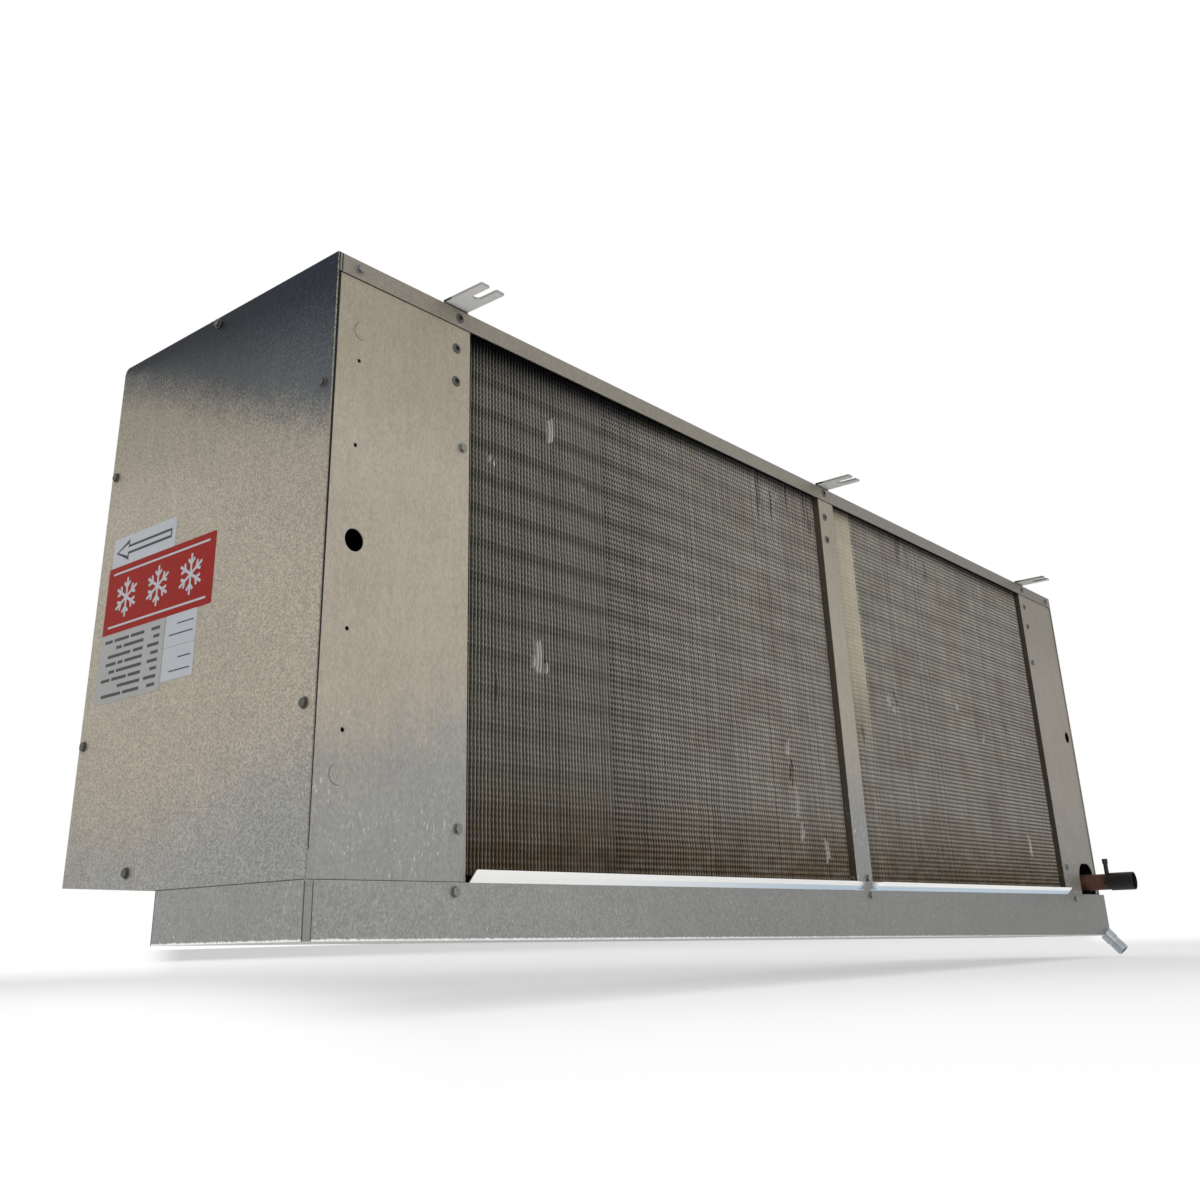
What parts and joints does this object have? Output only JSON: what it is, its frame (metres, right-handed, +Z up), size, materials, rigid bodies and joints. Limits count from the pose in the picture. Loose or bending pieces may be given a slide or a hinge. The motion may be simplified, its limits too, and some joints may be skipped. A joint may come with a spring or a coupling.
{
  "type": "ceiling-hung refrigeration evaporator",
  "caption": "Ceiling-hung cold-room evaporator: folded galvanised cabinet, finned coil face, sloping drain pan with lip, hanger brackets, suction stub and rear fans.",
  "frame": {"origin": "on the ceiling face of the middle front hanger, in line with the front flange", "axes": "+X along the cabinet towards the pipework end, +Y from the coil face towards the fans, +Z up"},
  "size_m": [1.925, 0.529, 0.7049],
  "materials": {
    "galvanised_steel": "galvanised sheet, fine spangle, weathered",
    "pan_steel": "galvanised sheet, dull grey",
    "fin_aluminium": "rippled fins, dull and dusty",
    "tube_copper": "brazed copper, brown and scorched",
    "hanger_steel": "galvanised plate",
    "drain_steel": "zinc plated",
    "guard_steel": "coated wire",
    "fan_aluminium": "mill finish",
    "motor_paint": "dark paint"
  },
  "bodies": {
    "root": {"access_valve": "tube_copper", "centre_strut": "galvanised_steel", "centre_tube_sheet": "galvanised_steel", "drain_fitting": "drain_steel", "drain_pan": "pan_steel", "fan_blades_left": "fan_aluminium", "fan_blades_right": "fan_aluminium", "fan_guard_left": "guard_steel", "fan_guard_right": "guard_steel", "fan_motor_left": "motor_paint", "fan_motor_right": "motor_paint", "fan_panel": "galvanised_steel", "fan_ring_left": "galvanised_steel", "fan_ring_right": "galvanised_steel", "fan_section_floor": "galvanised_steel", "hanger_front_centre": "hanger_steel", "hanger_front_left": "hanger_steel", "hanger_front_right": "hanger_steel", "hanger_rear_centre": "hanger_steel", "hanger_rear_left": "hanger_steel", "hanger_rear_right": "hanger_steel", "left_end_panel": "galvanised_steel", "left_fin_pack": "fin_aluminium", "left_front_panel": "galvanised_steel", "left_return_bends": "tube_copper", "left_tube_sheet": "galvanised_steel", "motor_bracket_left": "galvanised_steel", "motor_bracket_right": "galvanised_steel", "right_end_panel": "galvanised_steel", "right_fin_pack": "fin_aluminium", "right_front_panel": "galvanised_steel", "right_return_bends": "tube_copper", "right_tube_sheet": "galvanised_steel", "suction_pipe": "tube_copper", "top_panel": "galvanised_steel"}
  },
  "joints": []
}
